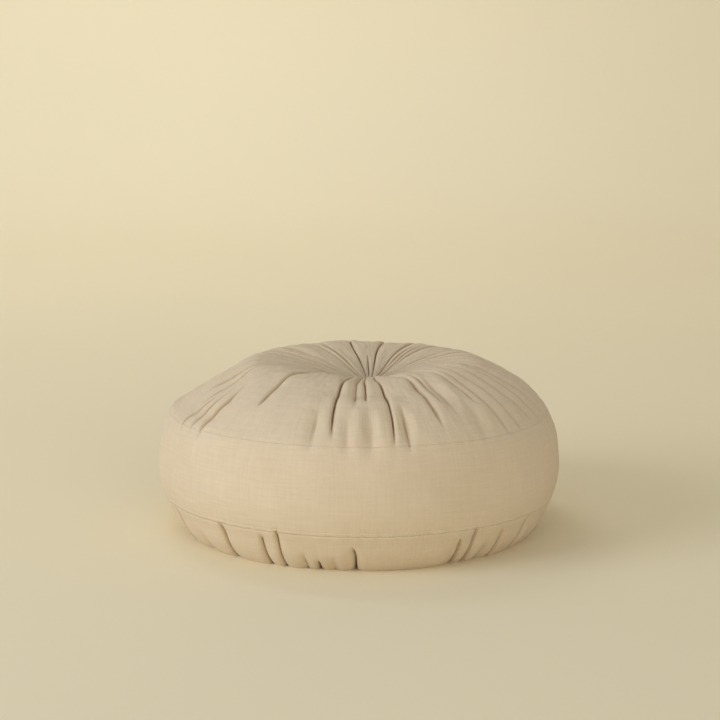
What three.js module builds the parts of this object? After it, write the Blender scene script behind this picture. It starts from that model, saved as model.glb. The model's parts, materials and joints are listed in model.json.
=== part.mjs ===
// Round tufted floor cushion. Millimetres, +Z up, front towards -Y, origin on the floor under its middle.
// A maker cuts three panels of cloth. The top and bottom panels are gathered to their middles and drawn
// in, and the plain side band is sewn between them. Filled, the two gathered panels are one crowned
// solid, and the band is a strip of cloth that lies round it from seam to seam.
import * as THREE from "three";

const { degToRad, euclideanModulo, smoothstep } = THREE.MathUtils;
const point = (radius, height) => new THREE.Vector2(radius, height);

// Driving dimensions
const DIAMETER = 400; // across the bulge of the side band
const HEIGHT = 176; // floor to the crest of the top
const BULGE_HEIGHT = 76; // where the side band is widest
const TOP_SEAM = point(188.5, 126); // radius and height of each seam
const BOTTOM_SEAM = point(195, 44);
const CREST_RADIUS = 106; // the crown's highest ring, around the tuft
const TOP_DIMPLE = 28; // how far the tuft draws the middle down
const BOTTOM_DIMPLE = 18;
const FOOT_RADIUS = 142; // outer and inner edge of the flat ring that meets the floor
const FOOT_INNER_RADIUS = 56;
const BAND_THICKNESS = 2;
const SEAM_GAP = 0.3;

// How the filling has settled
const BAND_SWAY = 1.2; // the band is a little out of round
const SWAY_AZIMUTH = degToRad(35);
// A slump is a stretch of the crown that has sunk: its middle and half spread in degrees from the front,
// turning to the right, the radii that it lies between, and how far it has sunk.
const slump = (azimuth, spread, from, to, drop) => ({
  azimuth: degToRad(azimuth),
  spread: degToRad(spread),
  from,
  to,
  drop,
});
const SLUMPS = [
  slump(272, 80, 98, 189, 10), // shoulder on the left
  slump(2, 50, 36, 150, 6), // rim of the dimple at the front
];

// Creases
const CREASE_HALF_WIDTH = 11; // from the bottom of a crease to the puffed cloth beside it
const CREASE_STEEPNESS = 0.8; // deepest crease for its half width, where gathers crowd together
const CREASE_FADE = 24; // length over which a crease rises to the surface at its ends

// Azimuths are degrees from the front, turning to the right. They are even, to lie on the mesh columns.
const COLUMN_STEP = 2;
const BAND_COLUMN_STEP = 4;

// A gather is one crease that runs out from the middle, between two radii, drawn in by its depth.
const gather = (azimuth, from, to, depth) => ({ azimuth: degToRad(azimuth), from, to, depth });

const TOP_GATHERS = [
  gather(2, 0, 150, 6),
  gather(10, 0, 186, 9),
  gather(14, 150, 188, 5),
  gather(26, 0, 182, 9),
  gather(32, 90, 168, 4),
  gather(42, 0, 152, 5),
  gather(48, 90, 186, 5),
  gather(54, 120, 186, 4),
  gather(60, 0, 180, 4),
  gather(68, 60, 186, 5),
  gather(80, 0, 126, 5),
  gather(92, 60, 184, 4),
  gather(104, 0, 124, 5),
  gather(114, 0, 174, 5),
  gather(122, 110, 188, 4),
  gather(134, 0, 118, 7),
  gather(142, 0, 88, 8),
  gather(148, 0, 136, 7),
  gather(158, 116, 188, 5),
  gather(166, 0, 156, 9),
  gather(176, 0, 76, 6),
  gather(186, 0, 136, 8),
  gather(196, 116, 188, 4),
  gather(204, 0, 116, 7),
  gather(210, 0, 136, 6),
  gather(220, 110, 188, 5),
  gather(228, 0, 116, 6),
  gather(238, 0, 156, 4),
  gather(250, 0, 184, 5),
  gather(262, 0, 136, 5),
  gather(274, 70, 188, 4),
  gather(284, 0, 146, 5),
  gather(294, 80, 188, 5),
  gather(304, 0, 136, 4),
  gather(308, 140, 188, 4),
  gather(324, 0, 162, 8),
  gather(346, 146, 188, 4),
  gather(352, 0, 186, 9),
  gather(358, 0, 160, 4),
];

// The bottom gathers show only between the flat ring on the floor and the lower seam.
const BOTTOM_GATHERS = [
  gather(0, 154, 188, 8),
  gather(14, 154, 172, 5),
  gather(28, 154, 188, 5),
  gather(32, 154, 192, 7),
  gather(44, 154, 188, 5),
  gather(56, 154, 190, 5),
  gather(70, 154, 184, 4),
  gather(84, 154, 190, 6),
  gather(96, 154, 178, 4),
  gather(112, 154, 190, 7),
  gather(128, 154, 186, 5),
  gather(140, 154, 190, 4),
  gather(154, 154, 180, 6),
  gather(168, 154, 190, 5),
  gather(182, 154, 186, 7),
  gather(196, 154, 190, 4),
  gather(210, 154, 184, 6),
  gather(224, 154, 190, 5),
  gather(238, 154, 180, 4),
  gather(252, 154, 190, 7),
  gather(266, 154, 186, 4),
  gather(280, 154, 190, 5),
  gather(294, 154, 192, 4),
  gather(306, 154, 184, 4),
  gather(318, 154, 192, 7),
  gather(332, 154, 190, 5),
  gather(336, 154, 192, 5),
  gather(348, 154, 174, 5),
];

// Meridians, each a curve of radius and height
const topPanel = new THREE.SplineCurve([
  point(0, HEIGHT - TOP_DIMPLE),
  point(0.26 * CREST_RADIUS, HEIGHT - 0.68 * TOP_DIMPLE),
  point(0.6 * CREST_RADIUS, HEIGHT - 0.22 * TOP_DIMPLE),
  point(CREST_RADIUS, HEIGHT),
  point(CREST_RADIUS + 28, HEIGHT - 9),
  point(TOP_SEAM.x - 26, TOP_SEAM.y + 26),
  point(TOP_SEAM.x - 10, TOP_SEAM.y + 12),
  TOP_SEAM,
]);
const sideBand = new THREE.SplineCurve([
  TOP_SEAM,
  point(DIAMETER / 2 - 3.5, (TOP_SEAM.y + BULGE_HEIGHT) / 2 + 4),
  point(DIAMETER / 2, BULGE_HEIGHT),
  point(DIAMETER / 2 - 1, (BOTTOM_SEAM.y + BULGE_HEIGHT) / 2),
  BOTTOM_SEAM,
]);
const bottomPanel = new THREE.SplineCurve([
  BOTTOM_SEAM,
  point(BOTTOM_SEAM.x - 11, BOTTOM_SEAM.y - 20),
  point(FOOT_RADIUS + 27, 9),
  point(FOOT_RADIUS + 14, 1),
  point(FOOT_RADIUS, 0),
]);
const bottomDimple = new THREE.SplineCurve([
  point(FOOT_INNER_RADIUS, 0),
  point(0.55 * FOOT_INNER_RADIUS, 0.35 * BOTTOM_DIMPLE),
  point(0, BOTTOM_DIMPLE),
]);

// Unit normal of a meridian that is drawn from the top down, pointing into the filling.
function inwardNormal(curve, share) {
  const along = curve.getTangentAt(share);
  return point(along.y, -along.x);
}

// Evenly spaced stations of a curve, between two shares of its length, moved into the filling by an inset.
function stations(curve, count, inset = 0, from = 0, to = 1) {
  return Array.from({ length: count + 1 }, (_, i) => {
    const share = from + ((to - from) * i) / count;
    const inward = inwardNormal(curve, share);
    return { at: curve.getPointAt(share).addScaledVector(inward, inset), inward };
  });
}

// An angle brought between minus and plus half a turn
const wrapped = (angle) => euclideanModulo(angle + Math.PI, 2 * Math.PI) - Math.PI;

// How deep the gathers draw a point in: a crease is sharp at its bottom and rounds over to the cloth beside it.
function creaseDepth(gathers, radius, azimuth) {
  const halfWidth = Math.min(CREASE_HALF_WIDTH, (2 * Math.PI * radius) / gathers.length);
  let deepest = 0;
  for (const { azimuth: middle, from, to, depth } of gathers) {
    const across = Math.max(0, 1 - Math.abs(wrapped(azimuth - middle) * radius) / Math.max(halfWidth, 1e-6)) ** 2;
    const begin = from > 0 ? smoothstep(radius, from - CREASE_FADE / 2, from + CREASE_FADE / 2) : 1;
    const end = 1 - smoothstep(radius, to - CREASE_FADE, to);
    deepest = Math.max(deepest, Math.min(depth, CREASE_STEEPNESS * halfWidth) * across * begin * end);
  }
  return deepest;
}

// The settled filling: the crown slumps in places, and the band is a little out of round.
function settle(at, azimuth) {
  let drop = 0;
  if (at.y > TOP_SEAM.y) {
    for (const { azimuth: middle, spread, from, to, drop: most } of SLUMPS) {
      const sideways = 1 - smoothstep(Math.abs(wrapped(azimuth - middle)), 0, spread);
      const begin = smoothstep(at.x, from, (from + to) / 2);
      const end = 1 - smoothstep(at.x, to - (to - from) / 5, to);
      drop += most * sideways * begin * end;
    }
  }
  const side = smoothstep(at.y, 0, BOTTOM_SEAM.y) * smoothstep(at.x, CREST_RADIUS, TOP_SEAM.x);
  const sway = BAND_SWAY * side * Math.cos(3 * (azimuth - SWAY_AZIMUTH));
  return point(at.x + sway, at.y - drop);
}

// Turns a meridian round the middle and draws each point in by its row's gathers. The first and last
// column share their azimuth, so that the solid closes on itself.
function turned(rows, columnStep) {
  const columns = 360 / columnStep;
  const geometry = new THREE.LatheGeometry(rows.map((row) => row.at), columns);
  const position = geometry.getAttribute("position");
  for (let column = 0; column <= columns; column++) {
    const azimuth = degToRad((column % columns) * columnStep);
    rows.forEach(({ at, inward, gathers = [] }, row) => {
      const drawn = at.clone().addScaledVector(inward, creaseDepth(gathers, at.x, azimuth));
      const { x: radius, y: height } = settle(drawn, azimuth);
      const index = column * rows.length + row;
      position.setXYZ(index, radius * Math.sin(azimuth), -radius * Math.cos(azimuth), height);
    });
  }
  geometry.deleteAttribute("normal");
  geometry.deleteAttribute("uv");
  return geometry;
}

// The filled solid: gathered top, the recess that the band lies in, gathered bottom and flat foot.
function filledBody() {
  const bandInset = BAND_THICKNESS + SEAM_GAP;
  const rows = [
    ...stations(topPanel, 15).map((row) => ({ ...row, gathers: TOP_GATHERS })),
    ...stations(sideBand, 4, bandInset),
    ...stations(bottomPanel, 6).map((row) => ({ ...row, gathers: BOTTOM_GATHERS })),
    ...stations(bottomDimple, 4),
  ];
  const middle = [rows[0], rows[rows.length - 1]];
  middle.forEach((row) => row.at.setX(0));
  return turned(rows.reverse(), COLUMN_STEP);
}

// The side band: one strip of cloth, closed on itself, a hair short of each seam.
function bandStrip() {
  const edge = SEAM_GAP / sideBand.getLength();
  const outside = stations(sideBand, 8, 0, edge, 1 - edge);
  const inside = stations(sideBand, 4, BAND_THICKNESS, edge, 1 - edge);
  const rows = [...outside, ...inside.reverse(), outside[0]];
  return turned(rows.reverse(), BAND_COLUMN_STEP);
}

const cloth = (color) => new THREE.MeshStandardMaterial({ color, roughness: 0.92, metalness: 0 });

const body = new THREE.Mesh(filledBody(), cloth(0xd8c6a6));
body.name = "gathered_body";
const band = new THREE.Mesh(bandStrip(), cloth(0xdccaaa));
band.name = "side_band";

const cushion = new THREE.Group();
cushion.name = "round_tufted_cushion";
cushion.add(body, band);

export default cushion;
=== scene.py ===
# %% [markdown]
# # A round tufted floor cushion
# This lesson dresses a plain CAD cushion as the sewn one. A top and a bottom panel of natural cotton are
# gathered to their middles, a plain band is sewn between them, and a row of topstitching runs along the
# band beside each seam. We load the CAD part first, because every piece has to sit where it says.

import json
import math
from collections import namedtuple

import bmesh
import bpy
import numpy as np
from mathutils import Matrix, Vector

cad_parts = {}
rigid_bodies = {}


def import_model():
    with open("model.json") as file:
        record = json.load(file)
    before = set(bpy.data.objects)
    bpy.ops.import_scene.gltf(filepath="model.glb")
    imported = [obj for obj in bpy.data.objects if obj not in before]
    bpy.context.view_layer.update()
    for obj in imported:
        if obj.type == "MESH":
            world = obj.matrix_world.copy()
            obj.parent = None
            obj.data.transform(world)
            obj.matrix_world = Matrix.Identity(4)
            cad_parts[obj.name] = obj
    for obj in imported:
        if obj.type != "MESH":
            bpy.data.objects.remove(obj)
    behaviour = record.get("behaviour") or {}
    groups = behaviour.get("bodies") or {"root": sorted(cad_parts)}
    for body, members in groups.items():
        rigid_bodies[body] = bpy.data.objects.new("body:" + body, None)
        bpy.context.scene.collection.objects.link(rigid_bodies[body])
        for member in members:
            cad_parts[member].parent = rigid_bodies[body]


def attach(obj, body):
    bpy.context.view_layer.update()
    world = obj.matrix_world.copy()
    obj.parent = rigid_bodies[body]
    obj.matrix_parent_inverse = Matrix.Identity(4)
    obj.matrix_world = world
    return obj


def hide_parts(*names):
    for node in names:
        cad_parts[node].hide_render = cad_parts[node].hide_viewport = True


MM = 0.001
TURN = 2 * math.pi
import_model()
scene = bpy.context.scene
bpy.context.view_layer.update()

# %% [markdown]
# ## The camera
# The photograph is taken from the front, a little above the cushion, with a longish lens. We set the camera
# from its distance and tilt, so that the outline falls on the same place in the square picture.

# %% Camera
CAMERA_DISTANCE = 1.600
CAMERA_HEIGHT = 0.439
CAMERA_TILT = math.radians(9.44)
CAMERA_LENS = 81.2

lens = bpy.data.cameras.new("camera")
lens.lens = CAMERA_LENS
lens.sensor_width = 36.0
camera = bpy.data.objects.new("camera", lens)
camera.location = (0.0, -CAMERA_DISTANCE, CAMERA_HEIGHT)
camera.rotation_euler = (math.pi / 2 - CAMERA_TILT, 0.0, 0.0)
scene.collection.objects.link(camera)
scene.camera = camera
print("camera tilt in degrees:", round(math.degrees(CAMERA_TILT), 2), "and lens in mm:", CAMERA_LENS)

# %% [markdown]
# ## One meridian, turned round
# Seen in section, the cushion is a line that starts in the dimple, climbs to the crest, rounds over the
# shoulder to the upper seam, bulges out along the band, and tucks under to the floor. We draw that line
# through the CAD part's stations, and let the spin operator turn it round. Each point keeps the number of
# its row, so that later steps can tell the panels apart.

# %% Stations of the meridian, as radius and height in mm
DIMPLE_TO_CREST = [(0, 148), (27.5, 157), (63.6, 169.8), (106, 176)]
DIMPLE_TO_SEAM = DIMPLE_TO_CREST + [(134, 167), (162.5, 152), (178.5, 138), (188.5, 126)]
SEAM_TO_SEAM = [(188.5, 126), (196.5, 105), (200, 76), (199, 60), (195, 44)]
SEAM_TO_FLOOR = [(195, 44), (184, 24), (169, 9), (156, 1), (142, 0)]
FLOOR_TO_DIMPLE = [(142, 0), (99, 0), (56, 0), (30.8, 6.3), (0, 18)]


def rounded_line(stations, spacing):
    """An even number of equal steps along a rounded line through the stations."""
    knots = np.array(stations, float)
    knots = np.vstack([2 * knots[0] - knots[1], knots, 2 * knots[-1] - knots[-2]])
    t = np.linspace(0, 1, 50, endpoint=False)[:, None]
    spans = []
    for a, b, c, d in zip(knots, knots[1:], knots[2:], knots[3:]):
        bend = t**2 * (a - 2.5 * b + 2 * c - d / 2) + t**3 * (1.5 * (b - c) + (d - a) / 2)
        spans.append(b + t * (c - a) / 2 + bend)
    fine = np.vstack(spans + [knots[-2:-1]])
    run = cloth_run(fine)
    steps = np.linspace(0, run[-1], 2 * round(run[-1] / spacing / 2) + 1)
    return np.column_stack([np.interp(steps, run, fine[:, k]) for k in (0, 1)])


def cloth_run(line):
    """How far along the cloth each point of a line lies, from its first point, in mm."""
    return np.concatenate([[0], np.cumsum(np.linalg.norm(np.diff(line, axis=0), axis=1))])


def outward(line):
    """Unit normals of a line that is drawn from the top down, pointing out of the filling."""
    along = np.gradient(line, axis=0)
    along /= np.linalg.norm(along, axis=1)[:, None]
    return np.column_stack([-along[:, 1], along[:, 0]])


top_line = rounded_line(DIMPLE_TO_SEAM, 2.5)
band_line = rounded_line(SEAM_TO_SEAM, 1.6)
side_line = rounded_line(SEAM_TO_FLOOR, 2.5)
under_line = np.maximum(rounded_line(FLOOR_TO_DIMPLE, 6.0), (0, 0))
lines = (top_line, band_line, side_line, under_line)
print("points along the top, band, side and underneath:", [len(line) for line in lines])

# %% A helper that turns a meridian
COLUMNS = 576


def turned(name, line, columns=COLUMNS):
    """A mesh made by turning a line of radius and height in mm about the cushion's middle, from the back."""
    bm = bmesh.new()
    row = bm.verts.layers.float.new("row")
    verts = []
    for i, (radius, height) in enumerate(line):
        vert = bm.verts.new((0.0, radius * MM, height * MM))
        vert[row] = i
        verts.append(vert)
    edges = [bm.edges.new(pair) for pair in zip(verts, verts[1:])]
    bmesh.ops.spin(
        bm, geom=verts + edges, cent=(0, 0, 0), axis=(0, 0, 1), angle=TURN, steps=columns, use_merge=True
    )
    bmesh.ops.remove_doubles(bm, verts=bm.verts, dist=1e-6)
    bmesh.ops.recalc_face_normals(bm, faces=bm.faces)
    mesh = bpy.data.meshes.new(name)
    bm.to_mesh(mesh)
    bm.free()
    mesh.shade_smooth()
    return mesh


def read_points(mesh):
    """Azimuth from the front, turning right, and row of each point of a turned mesh."""
    at = np.empty(len(mesh.vertices) * 3)
    mesh.vertices.foreach_get("co", at)
    x, y, _ = at.reshape(-1, 3).T
    row = np.empty(len(mesh.vertices), np.float32)
    mesh.attributes["row"].data.foreach_get("value", row)
    return np.arctan2(x, -y), np.rint(row).astype(int)


def write_points(mesh, radius, azimuth, height, aside=0.0):
    """Moves each point of a mesh to a radius, azimuth and height in mm, and then to the right."""
    x = radius * np.sin(azimuth) + aside
    y = -radius * np.cos(azimuth)
    mesh.vertices.foreach_set("co", (np.column_stack([x, y, height]) * MM).ravel())
    mesh.update()


# %% [markdown]
# ## Settled filling
# The filling is loose fibre, so the crown has sunk a little at the left shoulder and at the front of the
# dimple, and the band is slightly out of round. The CAD part has the same hollows.

# %% How the filling has settled
Slump = namedtuple("Slump", "azimuth spread begins ends drop")
SLUMPS = [Slump(272, 80, 98, 189, 10), Slump(2, 50, 36, 150, 6)]
BAND_SWAY = 1.2
SWAY_AZIMUTH = 35
CREST_RADIUS = 106
UPPER_SEAM = DIMPLE_TO_SEAM[-1]
LOWER_SEAM = SEAM_TO_FLOOR[0]


def smoothstep(x, low, high):
    """Rises smoothly from 0 at low to 1 at high."""
    t = np.clip((x - low) / (high - low), 0, 1)
    return t * t * (3 - 2 * t)


def turn_from(azimuth, degrees):
    """Angle from a given azimuth, between minus and plus half a turn."""
    return (azimuth - math.radians(degrees) + math.pi) % TURN - math.pi


def settled(radius, height, azimuth):
    """Radius and height of points once the filling has settled."""
    drop = np.zeros(len(radius))
    for slump in SLUMPS:
        middle = (slump.begins + slump.ends) / 2
        fifth = (slump.ends - slump.begins) / 5
        sideways = 1 - smoothstep(np.abs(turn_from(azimuth, slump.azimuth)), 0, math.radians(slump.spread))
        begin = smoothstep(radius, slump.begins, middle)
        end = 1 - smoothstep(radius, slump.ends - fifth, slump.ends)
        drop += slump.drop * sideways * begin * end * (height > UPPER_SEAM[1])
    side = smoothstep(height, 0, LOWER_SEAM[1]) * smoothstep(radius, CREST_RADIUS, UPPER_SEAM[0])
    sway = BAND_SWAY * side * np.cos(3 * turn_from(azimuth, SWAY_AZIMUTH))
    return radius + sway, height - drop


# %% [markdown]
# ## Gathers
# A drawn thread pulls each panel's edge into a point, so the cloth that is left over folds into creases
# that run out from the middle. Each crease is one row of a table: where it lies, where it begins and ends,
# how deep it is drawn, how wide its shoulders are, how far one shoulder lies over it, and how crisp it is.
# A crisp crease is two puffed lobes that meet in a slit. A soft one is a shallow wave. A crease of the top
# that ends beyond the seam is felt a little way down the band.

# %% The creases of the top panel, by azimuth and radius
Crease = namedtuple("Crease", "azimuth begins ends depth width lean crisp")
TOP_CREASES = [
    Crease(-8, 0, 187, 14, 13, -0.3, 1.0),
    Crease(-4, 150, 204, 4, 9, 0.0, 0.1),
    Crease(-2, 0, 162, 5, 9, 0.0, 0.6),
    Crease(2, 0, 154, 8, 9, 0.3, 0.9),
    Crease(3, 146, 206, 5, 10, 0.0, 0.1),
    Crease(9.5, 0, 193, 14, 13, 0.3, 1.0),
    Crease(13.5, 146, 200, 9, 10, 0.0, 0.6),
    Crease(25, 0, 181, 14, 13, -0.3, 1.0),
    Crease(28.5, 90, 160, 9, 7, -0.3, 1.0),
    Crease(32, 100, 176, 5, 12, 0.0, 0.3),
    Crease(38, 146, 200, 3, 12, 0.0, 0.0),
    Crease(42, 0, 164, 10, 11, -0.3, 1.0),
    Crease(47, 80, 194, 10, 12, -0.3, 0.9),
    Crease(53, 90, 194, 9, 11, -0.3, 0.9),
    Crease(61, 0, 190, 8, 12, -0.2, 0.9),
    Crease(67, 110, 192, 6, 8, 0.0, 0.9),
    Crease(74, 40, 192, 7, 12, 0.2, 0.9),
    Crease(82, 0, 162, 8, 11, 0.3, 1.0),
    Crease(91, 50, 192, 7, 12, 0.2, 0.9),
    Crease(99, 0, 156, 8, 10, 0.3, 1.0),
    Crease(107, 0, 150, 8, 10, 0.3, 1.0),
    Crease(115, 0, 184, 8, 12, 0.3, 1.0),
    Crease(123, 100, 194, 4, 11, 0.0, 0.5),
    Crease(134, 0, 132, 9, 11, 0.4, 1.0),
    Crease(138.5, 0, 104, 7, 7, 0.4, 1.0),
    Crease(143, 0, 98, 10, 9, 0.4, 1.0),
    Crease(149, 0, 148, 9, 11, 0.4, 1.0),
    Crease(158, 110, 194, 5, 12, 0.0, 0.6),
    Crease(166, 0, 166, 12, 9, 0.3, 1.0),
    Crease(175, 0, 66, 6, 6, 0.2, 1.0),
    Crease(186, 0, 134, 9, 9, -0.3, 1.0),
    Crease(195, 110, 194, 4, 12, 0.0, 0.6),
    Crease(203, 0, 128, 9, 9, -0.4, 1.0),
    Crease(209, 0, 150, 8, 10, -0.4, 1.0),
    Crease(219, 100, 194, 5, 12, 0.0, 0.6),
    Crease(227, 0, 140, 9, 10, -0.3, 1.0),
    Crease(238, 0, 168, 8, 11, -0.3, 1.0),
    Crease(249, 0, 192, 8, 12, -0.2, 1.0),
    Crease(261, 0, 160, 7, 11, -0.2, 1.0),
    Crease(273, 40, 194, 6, 12, 0.0, 0.9),
    Crease(287, 30, 164, 7, 8, -0.2, 1.0),
    Crease(293, 0, 164, 9, 10, -0.3, 1.0),
    Crease(296, 140, 204, 8, 7, -0.3, 1.0),
    Crease(302, 130, 202, 6, 8, -0.2, 0.8),
    Crease(307, 124, 204, 8, 9, -0.2, 0.8),
    Crease(324, 0, 164, 16, 12, -0.3, 1.0),
    Crease(335, 156, 196, 2, 12, 0.0, 0.0),
    Crease(346, 142, 200, 5, 10, 0.0, 0.4),
]

# %% The creases of the bottom panel, by azimuth and run of cloth from the lower seam
BOTTOM_CREASES = [
    Crease(-2, 10, 140, 15, 16, 0.2, 1.0),
    Crease(8, 50, 120, 2, 9, 0.0, 0.2),
    Crease(14.5, 40, 120, 9, 8, 0.0, 1.0),
    Crease(17.5, 42, 110, 8, 7, 0.0, 1.0),
    Crease(28.5, 6, 130, 13, 15, 0.3, 1.0),
    Crease(33, -4, 140, 13, 12, 0.3, 1.0),
    Crease(39, 14, 100, 4, 10, 0.0, 0.4),
    Crease(44, 4, 120, 9, 9, 0.3, 1.0),
    Crease(55, -2, 130, 8, 10, 0.3, 0.9),
    Crease(70, 10, 120, 5, 11, 0.0, 0.7),
    Crease(84, 4, 130, 7, 12, 0.2, 0.9),
    Crease(97, 14, 120, 5, 10, 0.0, 0.7),
    Crease(112, 4, 140, 8, 12, -0.2, 1.0),
    Crease(128, 8, 120, 6, 11, 0.0, 0.8),
    Crease(140, 4, 130, 5, 11, 0.2, 0.8),
    Crease(154, 14, 140, 7, 12, 0.0, 1.0),
    Crease(168, 4, 120, 6, 11, -0.2, 0.8),
    Crease(182, 8, 140, 8, 12, 0.2, 1.0),
    Crease(196, 4, 120, 5, 11, 0.0, 0.7),
    Crease(210, 10, 130, 7, 11, -0.2, 0.9),
    Crease(224, 4, 120, 6, 11, 0.0, 0.8),
    Crease(238, 14, 140, 5, 11, 0.2, 0.8),
    Crease(252, 4, 130, 8, 12, 0.0, 1.0),
    Crease(266, 8, 120, 5, 11, -0.2, 0.8),
    Crease(280, 4, 120, 6, 11, 0.0, 0.8),
    Crease(294, -4, 110, 8, 10, -0.3, 1.0),
    Crease(306, 14, 120, 3, 12, 0.0, 0.3),
    Crease(318, -4, 140, 12, 14, -0.3, 1.0),
    Crease(332, 2, 130, 11, 12, -0.3, 1.0),
    Crease(337, -8, 70, 8, 8, -0.3, 0.9),
    Crease(344, 16, 120, 4, 9, 0.0, 0.5),
    Crease(348, 26, 120, 12, 13, -0.2, 1.0),
    Crease(352.5, 20, 110, 3, 8, 0.0, 0.2),
]
print(len(TOP_CREASES), "creases on the top and", len(BOTTOM_CREASES), "underneath")


# %% [markdown]
# ## How a crease draws the cloth in
# Where creases crowd together near the middle, each has less room, so it is narrower and shallower there.
# The points beside a crisp crease are pinched towards it, which gives the slit more rows of faces.

# %% Draw the cloth in
SLIT = 2.4
PINCH = 6.0
LEAST_ROOM = 0.09


def drawn_in(creases, azimuth, radius, along, fade=36, slit_share=0.65):
    """How deep the creases draw each point in and tuck it sideways, in mm, and how strongly painted shade
    darkens its colour in a crease slit.
    """
    step = TURN / COLUMNS
    middles = np.array([round(math.radians(crease.azimuth) / step) * step for crease in creases]) % TURN
    order = np.argsort(middles)
    after = np.empty(len(creases))
    before = np.empty(len(creases))
    after[order] = np.diff(np.append(middles[order], middles[order[0]] + TURN))
    before[order] = np.roll(after[order], 1)
    depth = np.zeros(len(azimuth))
    tuck = np.zeros(len(azimuth))
    painted_crease_shade = np.zeros(len(azimuth))
    for crease, middle, room_after, room_before in zip(creases, middles, after, before):
        turn = (azimuth - middle + math.pi) % TURN - math.pi
        near = np.abs(turn) * radius < 1.3 * crease.width
        turn = turn[near]
        r = radius[near]
        s = along[near]
        room = np.where(turn > 0, max(room_after, LEAST_ROOM), max(room_before, LEAST_ROOM)) * 0.8 * r
        lying_over = 1 - abs(crease.lean)
        lying_under = 1 + 0.5 * abs(crease.lean)
        reach = crease.width * np.where(turn * crease.lean > 0, lying_over, lying_under)
        half = np.maximum(np.minimum(reach, room), 0.05)
        share = np.clip(1 - np.abs(turn) * r / half, 0, 1)
        begin = smoothstep(s, crease.begins, crease.begins + fade) if crease.begins else 1.0
        lasts = begin * (1 - smoothstep(s, crease.ends - 0.8 * fade, crease.ends))
        deep = np.minimum(crease.depth, np.minimum(crease.width, room)) * lasts
        shoulder = 1 - np.sqrt(1 - share**2)
        slit = np.clip(1 - np.abs(turn) * r / np.minimum(SLIT, 0.4 + 0.02 * r), 0, 1)
        wave = share**2 * (3 - 2 * share)
        crisp = (1 - slit_share) * shoulder + slit_share * slit
        # Painted shade: the colour inside a crisp crease's slit is darkened, more so the deeper the crease is
        # drawn.
        painted_crease_shade[near] = np.maximum(painted_crease_shade[near], slit * crease.crisp * np.clip(deep / 9, 0, 1))
        depth[near] += deep * (crease.crisp * crisp + (1 - crease.crisp) * wave)
        pinch = np.clip(1 - (turn * r / np.clip(0.6 * room, 0.05, PINCH)) ** 2, 0, 1) ** 2
        tuck[near] += crease.lean * deep * share**3 - 0.6 * crease.crisp * lasts * pinch * turn * r
    return depth, tuck, painted_crease_shade


# %% [markdown]
# ## Cloth under pressure
# Before the creases are drawn sharply, the top panel is run as cloth. Its rest shape is the flat cut, which
# is wider round the middle than the gathered panel. The seam and the drawn threads at the bottom of the
# creases hold it, and the filling pushes from below, so the cloth between the threads puffs up. The panel
# is run on every second row and column, because cloth on the full mesh would take many minutes.

# %% Run the top panel as cloth
COARSE = 2
CLOTH_FRAMES = 20
MOST_MOVE = 4.0
SPARE_CLOTH = 0.30
coarse_line = top_line[::COARSE]
coarse_columns = COLUMNS // COARSE


def flat_cut(line, azimuth, row):
    """Points of the panel with spare width round its middle, and the same length along each meridian."""
    run = cloth_run(line)
    wide = line[:, 0] * (1 + SPARE_CLOTH * (1 - line[:, 0] / line[-1, 0]) ** 0.7)
    climb = np.sqrt(np.maximum(np.diff(run) ** 2 - np.diff(wide) ** 2, (0.2 * np.diff(run)) ** 2))
    height = 300 - np.concatenate([[0], np.cumsum(climb)])
    x = wide[row] * np.sin(azimuth)
    y = -wide[row] * np.cos(azimuth)
    return np.column_stack([x, y, height[row]]) * MM


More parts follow.
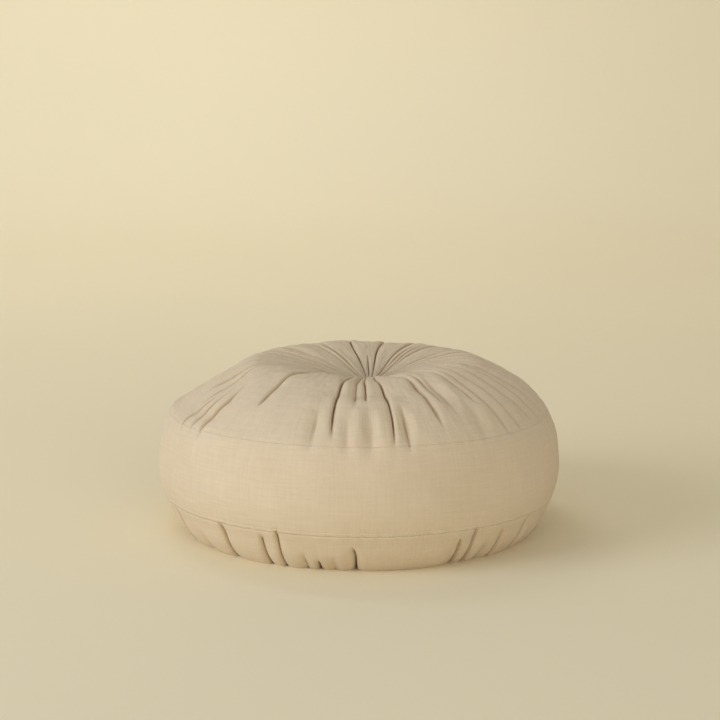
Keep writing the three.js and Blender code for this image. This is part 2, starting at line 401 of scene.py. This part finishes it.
def puffed_panel():
    """How far each point of the coarse panel moves under pressure, in mm, by row and column."""
    mesh = turned("panel", coarse_line, coarse_columns)
    azimuth, row = read_points(mesh)
    r, z = coarse_line[row].T
    normal_r, normal_z = outward(coarse_line)[row].T
    depth, _, _ = drawn_in(TOP_CREASES, azimuth, r, r)
    start_r, start_z = settled(r - 0.6 * depth * normal_r, z - 0.6 * depth * normal_z, azimuth)
    write_points(mesh, start_r, azimuth, start_z)
    start = np.empty(len(row) * 3)
    mesh.vertices.foreach_get("co", start)

    panel = bpy.data.objects.new("panel", mesh)
    scene.collection.objects.link(panel)
    panel.shape_key_add(name="gathered")
    cut = panel.shape_key_add(name="cut")
    cut.data.foreach_set("co", flat_cut(coarse_line, azimuth, row).ravel().astype(np.float32))
    cut.value = 0.0
    threads = panel.vertex_groups.new(name="threads")
    held = (row == len(coarse_line) - 1) | (r < 8) | (depth > 3.5)
    threads.add([int(i) for i in np.nonzero(held)[0]], 1.0, "REPLACE")

    cloth = panel.modifiers.new("cloth", "CLOTH")
    cloth.settings.rest_shape_key = cut
    cloth.settings.quality = 8
    cloth.settings.mass = 0.0008
    cloth.settings.tension_stiffness = 5
    cloth.settings.compression_stiffness = 5
    cloth.settings.shear_stiffness = 2
    cloth.settings.bending_stiffness = 0.02
    cloth.settings.air_damping = 1
    cloth.settings.vertex_group_mass = "threads"
    cloth.settings.use_pressure = True
    cloth.settings.uniform_pressure_force = 10
    cloth.settings.effector_weights.gravity = 0
    cloth.collision_settings.use_collision = False
    cloth.collision_settings.use_self_collision = False
    cloth.point_cache.frame_end = CLOTH_FRAMES
    for step in range(1, CLOTH_FRAMES + 1):
        scene.frame_set(step)
    run = panel.evaluated_get(bpy.context.evaluated_depsgraph_get()).to_mesh()
    end = np.empty(len(row) * 3)
    run.vertices.foreach_get("co", end)
    moved = (end - start).reshape(-1, 3) / MM
    scene.frame_set(1)
    bpy.data.objects.remove(panel)
    bpy.data.meshes.remove(mesh)

    length = np.linalg.norm(moved, axis=1)
    moved *= np.minimum(1, MOST_MOVE / np.maximum(length, 1e-9))[:, None]
    print("the cloth moved", round(length.mean(), 2), "mm on average and", round(length.max(), 2), "at most")
    across = np.sin(azimuth) * moved[:, 0] - np.cos(azimuth) * moved[:, 1]
    round_it = np.cos(azimuth) * moved[:, 0] + np.sin(azimuth) * moved[:, 1]
    column = np.rint(azimuth / TURN * coarse_columns).astype(int) % coarse_columns
    grid = np.zeros((len(coarse_line), coarse_columns, 3))
    grid[row, column] = np.column_stack([across, round_it, moved[:, 2]])
    grid[0] = 0.0
    return grid


def doubled(grid):
    """The grid with a row and a column added between each two, halfway between them."""
    wide = np.repeat(grid, 2, axis=1)
    wide[:, 1::2] = (grid + np.roll(grid, -1, axis=1)) / 2
    tall = np.repeat(wide, 2, axis=0)[:-1]
    tall[1::2] = (wide[1:] + wide[:-1]) / 2
    return tall


panel_moves = doubled(puffed_panel())

# %% [markdown]
# ## The filled body
# The two gathered panels and their filling are one closed form, hidden under the band between the seams.
# We turn the whole meridian, with the band's stretch set in by the thickness of the cloth. Then we add what
# the cloth run moved, draw the creases in, and roll the panels in where they meet the seams.

# %% Build the gathered body
BAND_CLOTH = 1.4
UNDER_BAND = 2.2
GATHER_ASIDE = 8.0
FLOOR_SWELL = 4.0
recess = (band_line - UNDER_BAND * outward(band_line))[np.linspace(2, len(band_line) - 3, 7).astype(int)]
body_line = np.vstack([top_line, recess, side_line, under_line[1:]])
side_first = len(top_line) + len(recess)
body_normals = outward(body_line)
body_normals[: len(top_line)] = outward(top_line)
body_normals[side_first:] = outward(body_line[side_first:])

body_mesh = turned("gathered_body", body_line)
azimuth, row = read_points(body_mesh)
column = np.rint(azimuth / TURN * COLUMNS).astype(int) % COLUMNS
base_radius, base_height = body_line[row].T
normal_r, normal_z = body_normals[row].T
is_top = row < len(top_line)
is_bottom = row >= side_first
below_seam = np.zeros(len(row))
below_seam[is_bottom] = cloth_run(body_line[side_first:])[row[is_bottom] - side_first]
above_seam = np.full(len(row), 99.0)
top_run = cloth_run(top_line)
above_seam[is_top] = top_run[-1] - top_run[row[is_top]]


def seam_pucker(azimuth, from_seam):
    """How far the seam and its stitching draw the cloth in, in mm."""
    ripple = 0.3 * np.sin(67 * azimuth + 2 * np.sin(11 * azimuth)) * np.clip(1 - from_seam / 12, 0, 1)
    return ripple + 0.5 * np.clip(1 - from_seam / 3.5, 0, 1) ** 2


def unevenness(azimuth, along, size):
    """Slow hollows and swellings, a few to each side of the cushion, in mm."""
    waves = np.sin(5 * azimuth + 0.031 * along + 0.6) + np.sin(9 * azimuth - 0.043 * along + 2.1)
    ripples = np.sin(17 * azimuth + 0.09 * along + 4.0) + np.sin(26 * azimuth - 0.07 * along + 1.2)
    return size * (waves / 3 + ripples / 6)


depth = np.zeros(len(row))
tuck = np.zeros(len(row))
painted_crease_shade = np.zeros(len(row))
top = drawn_in(TOP_CREASES, azimuth[is_top], base_radius[is_top], base_radius[is_top])
depth[is_top], tuck[is_top], painted_crease_shade[is_top] = top
bottom = drawn_in(
    BOTTOM_CREASES, azimuth[is_bottom], base_radius[is_bottom], below_seam[is_bottom], fade=20, slit_share=0.4
)
depth[is_bottom], tuck[is_bottom], painted_crease_shade[is_bottom] = bottom
from_seam = np.where(is_top, above_seam, np.where(is_bottom, below_seam, 99.0))
depth += seam_pucker(azimuth, from_seam)
crown = smoothstep(base_radius, 20, 90) * smoothstep(from_seam, 0, 30) * is_top
depth -= unevenness(azimuth, base_radius, 1.2) * crown
swell = smoothstep(below_seam, 6, 44) * (1 - smoothstep(below_seam, 56, 80)) * is_bottom
depth -= FLOOR_SWELL * swell
radius, height = settled(base_radius - depth * normal_r, base_height - depth * normal_z, azimuth)
moves = np.zeros((len(row), 3))
moves[is_top] = panel_moves[row[is_top], column[is_top]]
radius += moves[:, 0]
height += moves[:, 2]
turn = azimuth + (tuck + moves[:, 1]) / np.maximum(radius, 6.0)
aside = GATHER_ASIDE * (1 - smoothstep(base_radius, 8, 95)) * is_top
write_points(body_mesh, radius, turn, np.maximum(height, 0), aside)
# Painted shade in the crease slits, faded out towards the middle of the dimple, is stored on the points.
painted_crease_shade *= smoothstep(base_radius, 15, 90)
body_mesh.attributes.new("painted_crease_shade", "FLOAT", "POINT").data.foreach_set("value", painted_crease_shade.astype(np.float32))

gathered_body = bpy.data.objects.new("gathered_body.cloth", body_mesh)
scene.collection.objects.link(gathered_body)
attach(gathered_body, "root")
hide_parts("gathered_body")
all_placed = bool(np.isfinite(radius + turn + height).all())
print("gathered body:", len(body_mesh.vertices), "points, all placed:", all_placed)

# %% [markdown]
# ## The side band
# The band is one plain strip of cloth, sewn to both panels. The strongest creases of the panels pull a
# little on it, and the stitching puckers its edges.

# %% Build the side band
SEAM_TO_STITCH = 3.2
band_mesh = turned("side_band", band_line)
band_azimuth, band_row = read_points(band_mesh)
band_run = cloth_run(band_line)
from_top = band_run[band_row]
from_bottom = band_run[-1] - from_top
band_r, band_z = band_line[band_row].T
band_nr, band_nz = outward(band_line)[band_row].T
top_pull, _, _ = drawn_in(TOP_CREASES, band_azimuth, band_r, UPPER_SEAM[0] + from_top)
bottom_pull, _, _ = drawn_in(BOTTOM_CREASES, band_azimuth, band_r, -from_bottom, fade=20)
edge = np.minimum(from_top, from_bottom)
band_depth = top_pull + bottom_pull + seam_pucker(band_azimuth, edge)
band_depth += 0.4 * np.clip(1 - np.abs(edge - SEAM_TO_STITCH) / 2.2, 0, 1)
band_depth -= unevenness(band_azimuth, 0.6 * from_top, 0.8) * smoothstep(edge, 0, 30)
band_radius, band_height = settled(band_r - band_depth * band_nr, band_z - band_depth * band_nz, band_azimuth)
write_points(band_mesh, band_radius, band_azimuth, band_height)

side_band = bpy.data.objects.new("side_band.cloth", band_mesh)
scene.collection.objects.link(side_band)
thickness = side_band.modifiers.new("cloth thickness", "SOLIDIFY")
thickness.thickness = BAND_CLOTH * MM
thickness.offset = -1.0
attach(side_band, "root")
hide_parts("side_band")
print("side band:", len(band_mesh.vertices), "points")

# %% [markdown]
# ## Topstitching
# A row of stitches runs along the band, 3 mm from each seam. A stitch is a short, thick piece of thread
# that dips into the cloth at both ends, so a stretched ball with few faces is enough.

# %% Sew the topstitching
STITCH_PITCH = 3.0
STITCH_LENGTH = 2.5
THREAD = 0.66


def stitch_row(name, distance):
    """One row of stitches on the band, at a distance from its upper edge, in mm."""
    shell = np.array([v.co for v in band_mesh.vertices]) / MM
    nearest = int(np.argmin(np.abs(band_run - distance)))
    ring = np.nonzero(band_row == nearest)[0]
    ring = ring[np.argsort(band_azimuth[ring])]
    path = shell[ring]
    path = np.vstack([path, path[:1]])
    run = np.concatenate([[0], np.cumsum(np.linalg.norm(np.diff(path, axis=0), axis=1))])
    count = round(run[-1] / STITCH_PITCH)
    places = (np.arange(count) + 0.5) * run[-1] / count
    ahead = np.column_stack([np.interp(places + 0.5, run, path[:, k]) for k in range(3)])
    behind = np.column_stack([np.interp(places - 0.5, run, path[:, k]) for k in range(3)])
    out_r, out_z = outward(band_line)[nearest]
    mesh = bpy.data.meshes.new(name)
    whole = bmesh.new()
    for first in range(0, count, 40):
        stretch = bmesh.new()
        for front, back in zip(ahead[first : first + 40], behind[first : first + 40]):
            middle = Vector((front + back) / 2)
            along = Vector(front - back).normalized()
            flat_out = Vector((middle.x, middle.y, 0)).normalized()
            out = (flat_out * out_r + Vector((0, 0, 1)) * out_z).normalized()
            place = Matrix((along, along.cross(out), out)).transposed().to_4x4()
            place.translation = (middle + out * 0.12) * MM
            size = Matrix.Diagonal((STITCH_LENGTH / 2 * MM, THREAD / 2 * MM, THREAD / 2 * MM, 1))
            bmesh.ops.create_uvsphere(stretch, u_segments=8, v_segments=5, radius=1, matrix=place @ size)
        stretch.to_mesh(mesh)
        stretch.free()
        whole.from_mesh(mesh)
    bmesh.ops.recalc_face_normals(whole, faces=whole.faces)
    whole.to_mesh(mesh)
    whole.free()
    mesh.shade_smooth()
    stitches = bpy.data.objects.new(name, mesh)
    scene.collection.objects.link(stitches)
    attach(stitches, "root")
    print(name, "has", count, "stitches")
    return stitches


upper_stitches = stitch_row("topstitch_upper", SEAM_TO_STITCH)
lower_stitches = stitch_row("topstitch_lower", band_run[-1] - SEAM_TO_STITCH)

# %% [markdown]
# ## Natural cotton
# The cloth is unbleached cotton in a plain weave. Every panel was cut flat, so its pattern has to follow
# the cloth and not the room: we lay a UV map along each panel, in metres, round the cushion and down it.
# The weave is two sets of threads that pass over and under each other. Uneven threads make faint streaks
# in both directions, and the whole cloth varies slowly in tone.

# %% Lay the cloth out flat
ROUND = 1.2


def lay_out(mesh, azimuth, run):
    """A UV map of the cloth in metres: round the cushion, and down the cloth."""
    corner = np.empty(len(mesh.loops), int)
    mesh.loops.foreach_get("vertex_index", corner)
    start = np.empty(len(mesh.polygons), int)
    mesh.polygons.foreach_get("loop_start", start)
    total = np.empty(len(mesh.polygons), int)
    mesh.polygons.foreach_get("loop_total", total)
    u = azimuth[corner] / TURN * ROUND
    furthest = np.repeat(np.maximum.reduceat(u, start), total)
    u = np.where(furthest - u > ROUND / 2, u + ROUND, u)
    uv = mesh.uv_layers.new(name="cloth")
    uv.data.foreach_set("uv", np.column_stack([u, run[corner] * MM]).ravel())


lay_out(body_mesh, azimuth, cloth_run(body_line)[row])
lay_out(band_mesh, band_azimuth, from_top)

# %% Make the cotton
THREADS_PER_METRE = 1250


def cotton(name, light, dark):
    """Plain-woven cotton between two tones of one colour, darkened toward brown by painted shade in the
    crease slits.
    """
    finish = bpy.data.materials.new(name)
    finish.use_nodes = True
    nodes = finish.node_tree.nodes
    links = finish.node_tree.links
    shader = nodes["Principled BSDF"]
    shader.inputs["Roughness"].default_value = 0.92
    shader.inputs["Specular IOR Level"].default_value = 0.2
    shader.inputs["Sheen Weight"].default_value = 0.1
    shader.inputs["Sheen Roughness"].default_value = 0.5

    def maths(kind, first, second):
        node = nodes.new("ShaderNodeMath")
        node.operation = kind
        for socket, value in zip(node.inputs, (first, second)):
            if isinstance(value, (int, float)):
                socket.default_value = value
            else:
                links.new(value, socket)
        return node.outputs[0]

    def streaks(where, stretch, detail):
        mapping = nodes.new("ShaderNodeMapping")
        mapping.inputs["Scale"].default_value = stretch
        links.new(where, mapping.inputs["Vector"])
        noise = nodes.new("ShaderNodeTexNoise")
        noise.inputs["Scale"].default_value = 1.0
        noise.inputs["Detail"].default_value = detail
        links.new(mapping.outputs["Vector"], noise.inputs["Vector"])
        return noise.outputs["Fac"]

    cloth = nodes.new("ShaderNodeUVMap")
    cloth.uv_map = "cloth"
    split = nodes.new("ShaderNodeSeparateXYZ")
    links.new(cloth.outputs["UV"], split.inputs["Vector"])
    warp = maths("SINE", maths("MULTIPLY", split.outputs["X"], TURN / 2 * THREADS_PER_METRE), 0)
    weft = maths("SINE", maths("MULTIPLY", split.outputs["Y"], TURN / 2 * THREADS_PER_METRE), 0)
    weave = maths("MULTIPLY", warp, weft)
    warp_slubs = streaks(cloth.outputs["UV"], (520, 30, 1), 4)
    weft_slubs = streaks(cloth.outputs["UV"], (30, 520, 1), 4)
    place = nodes.new("ShaderNodeTexCoord")
    blotches = streaks(place.outputs["Object"], (14, 14, 14), 4)
    slubs = maths("ADD", warp_slubs, weft_slubs)
    tone = maths("ADD", maths("MULTIPLY", slubs, 1.0), maths("MULTIPLY", blotches, 0.9))
    tone = maths("ADD", tone, maths("MULTIPLY", weave, 0.12))

    mix = nodes.new("ShaderNodeMix")
    mix.data_type = "RGBA"
    links.new(maths("SUBTRACT", tone, 0.95), mix.inputs["Factor"])
    mix.inputs[6].default_value = (*dark, 1.0)
    mix.inputs[7].default_value = (*light, 1.0)
    # Painted shade: inside the crease slits the cloth colour is mixed up to 55% toward dark brown, read from
    # an attribute on the points.
    shade = nodes.new("ShaderNodeAttribute")
    shade.attribute_name = "painted_crease_shade"
    crease_shade_mix = nodes.new("ShaderNodeMix")
    crease_shade_mix.data_type = "RGBA"
    links.new(maths("MULTIPLY", shade.outputs["Fac"], 0.55), crease_shade_mix.inputs["Factor"])
    links.new(mix.outputs[2], crease_shade_mix.inputs[6])
    crease_shade_mix.inputs[7].default_value = (0.29, 0.165, 0.06, 1.0)
    links.new(crease_shade_mix.outputs[2], shader.inputs["Base Color"])

    height = maths("ADD", maths("MULTIPLY", weave, 0.35), maths("MULTIPLY", slubs, 0.8))
    bump = nodes.new("ShaderNodeBump")
    bump.inputs["Strength"].default_value = 0.9
    bump.inputs["Distance"].default_value = 0.0004
    links.new(height, bump.inputs["Height"])
    links.new(bump.outputs["Normal"], shader.inputs["Normal"])
    return finish


panel_cotton = cotton("natural cotton panels", (0.765, 0.635, 0.46), (0.665, 0.54, 0.375))
band_cotton = cotton("natural cotton band", (0.775, 0.645, 0.47), (0.675, 0.55, 0.385))
gathered_body.data.materials.append(panel_cotton)
side_band.data.materials.append(band_cotton)
print("cotton finishes:", panel_cotton.name, "and", band_cotton.name)

# %% [markdown]
# ## Thread
# The thread is cotton too, a little lighter and smoother than the cloth, and twisted.

# %% Make the thread
thread = bpy.data.materials.new("cotton thread")
thread.use_nodes = True
thread_shader = thread.node_tree.nodes["Principled BSDF"]
thread_shader.inputs["Roughness"].default_value = 0.75
thread_shader.inputs["Sheen Weight"].default_value = 0.1
ply = thread.node_tree.nodes.new("ShaderNodeTexNoise")
ply.inputs["Scale"].default_value = 1400.0
spot = thread.node_tree.nodes.new("ShaderNodeTexCoord")
tints = thread.node_tree.nodes.new("ShaderNodeValToRGB")
tints.color_ramp.elements[0].color = (0.66, 0.55, 0.40, 1.0)
tints.color_ramp.elements[1].color = (0.88, 0.79, 0.63, 1.0)
thread.node_tree.links.new(spot.outputs["Object"], ply.inputs["Vector"])
thread.node_tree.links.new(ply.outputs["Fac"], tints.inputs["Fac"])
thread.node_tree.links.new(tints.outputs["Color"], thread_shader.inputs["Base Color"])
for stitches in (upper_stitches, lower_stitches):
    stitches.data.materials.append(thread)

# %% [markdown]
# ## The studio
# The cushion stands on a cream paper sweep, which rises behind it without a corner. The paper is matt and
# almost even, with a slow change of tone.

# %% Floor and backdrop
floor_finish = bpy.data.materials.new("cream paper sweep")
floor_finish.use_nodes = True
floor_nodes = floor_finish.node_tree.nodes
floor_shader = floor_nodes["Principled BSDF"]
floor_shader.inputs["Roughness"].default_value = 0.9
floor_shader.inputs["Specular IOR Level"].default_value = 0.1
cloud = floor_nodes.new("ShaderNodeTexNoise")
cloud.inputs["Scale"].default_value = 1.5
paper = floor_nodes.new("ShaderNodeValToRGB")
paper.color_ramp.elements[0].color = (0.85, 0.765, 0.555, 1.0)
paper.color_ramp.elements[1].color = (0.89, 0.80, 0.585, 1.0)
spot = floor_nodes.new("ShaderNodeTexCoord")
floor_finish.node_tree.links.new(spot.outputs["Object"], cloud.inputs["Vector"])
floor_finish.node_tree.links.new(cloud.outputs["Fac"], paper.inputs["Fac"])
floor_finish.node_tree.links.new(paper.outputs["Color"], floor_shader.inputs["Base Color"])
bm = bmesh.new()
profile = [(-4.0, 0.0), (2.0, 0.0), (2.6, 0.12), (2.95, 0.45), (3.1, 1.0), (3.1, 4.0)]
line = [bm.verts.new((-6.0, y, z)) for y, z in profile]
edges = [bm.edges.new(pair) for pair in zip(line, line[1:])]
swept = bmesh.ops.extrude_edge_only(bm, edges=edges)
moved = [v for v in swept["geom"] if isinstance(v, bmesh.types.BMVert)]
bmesh.ops.translate(bm, verts=moved, vec=(12.0, 0, 0))
bmesh.ops.recalc_face_normals(bm, faces=bm.faces)
sweep_mesh = bpy.data.meshes.new("studio sweep")
bm.to_mesh(sweep_mesh)
bm.free()
sweep_mesh.shade_smooth()
sweep_mesh.materials.append(floor_finish)
sweep = bpy.data.objects.new("studio_sweep", sweep_mesh)
smooth = sweep.modifiers.new("rounded sweep", "SUBSURF")
smooth.levels = smooth.render_levels = 3
scene.collection.objects.link(sweep)
print("sweep from", profile[0], "to", profile[-1])

# %% [markdown]
# ## Light
# Daylight comes from a wide window low on the left, and the pale room returns it softly from every side.
# One lamp fills in from the front, and one brightens the paper behind.

# %% Light the studio
scene.view_settings.view_transform = "Standard"
world = bpy.data.worlds.new("soft room light")
scene.world = world
world.use_nodes = True
world.node_tree.nodes["Background"].inputs["Color"].default_value = (1.0, 0.98, 0.94, 1.0)
world.node_tree.nodes["Background"].inputs["Strength"].default_value = 0.40


def soft_lamp(name, place, towards, size, energy, colour):
    lamp = bpy.data.lights.new(name, "AREA")
    lamp.shape = "DISK"
    lamp.size = size
    lamp.energy = energy
    lamp.color = colour
    lamp_object = bpy.data.objects.new(name, lamp)
    lamp_object.location = place
    lamp_object.rotation_euler = (Vector(towards) - Vector(place)).to_track_quat("-Z", "Y").to_euler()
    lamp_object.visible_camera = False
    scene.collection.objects.link(lamp_object)


soft_lamp("window", (-2.4, -1.1, 1.05), (0, 0, 0.08), 1.8, 39, (0.91, 0.96, 1.04))
soft_lamp("front", (0.9, -3.2, 0.9), (0, 0, 0.08), 2.6, 31, (1.0, 0.96, 0.85))
soft_lamp("backdrop", (-0.9, 1.5, 2.7), (0, 3.1, 1.4), 1.6, 27, (1.0, 0.99, 0.98))
